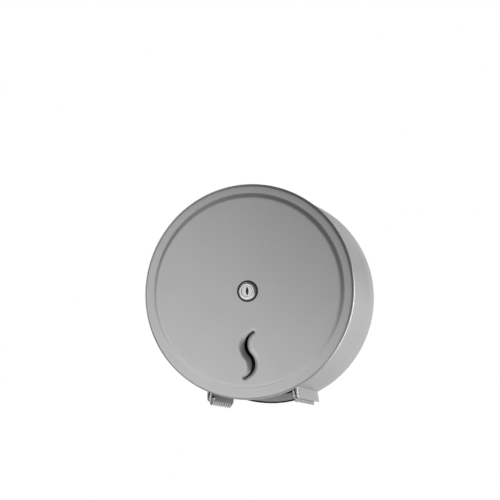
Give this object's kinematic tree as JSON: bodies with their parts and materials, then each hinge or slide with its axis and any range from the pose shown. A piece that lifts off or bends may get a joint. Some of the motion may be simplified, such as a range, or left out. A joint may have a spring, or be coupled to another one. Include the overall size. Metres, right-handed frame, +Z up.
{
  "type": "jumbo toilet roll dispenser",
  "caption": "Round wall-hung steel dispenser for one jumbo toilet roll, with hinged locking cover, sight slot, tear combs and turning spindle.",
  "frame": {"origin": "centre of the back plate's rear face, on the wall", "axes": "+Z up, +Y into the wall, the front faces -Y, +X is the right-hand side seen from the front"},
  "size_m": [0.2765, 0.13, 0.2747],
  "materials": {
    "satin_steel": "satin stainless steel",
    "plain_steel": "plain stainless steel",
    "black_abs": "black moulded plastic",
    "grey_abs": "grey moulded plastic",
    "black_rubber": "black rubber",
    "chrome": "chromed",
    "zinc_steel": "zinc-plated steel"
  },
  "bodies": {
    "base": {"back_plate": "plain_steel", "base_moulding": "black_abs", "moulding_screws": "zinc_steel", "exit_lip": "black_abs", "spindle_post": "black_abs", "post_screws": "zinc_steel", "catch_plate": "zinc_steel", "catch_screws": "zinc_steel", "hinge_base_leaf": "plain_steel", "base_leaf_rivets": "zinc_steel", "hinge_pin": "zinc_steel"},
    "spindle": {"spindle_sleeve": "grey_abs"},
    "cover": {"front_panel": "satin_steel", "side_band": "satin_steel", "comb_right": "plain_steel", "comb_left": "plain_steel", "comb_screws": "zinc_steel", "hinge_cover_leaf": "plain_steel", "cover_leaf_rivets": "zinc_steel", "lock_gasket": "black_rubber", "lock_barrel": "chrome", "lock_nut": "zinc_steel"},
    "lock": {"lock_plug": "chrome", "lock_cam": "zinc_steel", "cam_screw": "zinc_steel"}
  },
  "joints": [
    {"name": "cover_hinge", "type": "hinge", "parent": "base", "child": "cover", "pos_m": [-0.1385, -0.004, 0], "axis": [0, 0, -1], "range_deg": [0, 90]},
    {"name": "lock_turn", "type": "hinge", "parent": "cover", "child": "lock", "pos_m": [0, -0.115, 0], "axis": [0, -1, 0], "range_deg": [0, 90]},
    {"name": "spindle_spin", "type": "hinge", "parent": "base", "child": "spindle", "pos_m": [0, -0.06, 0], "axis": [0, -1, 0], "continuous": true}
  ]
}
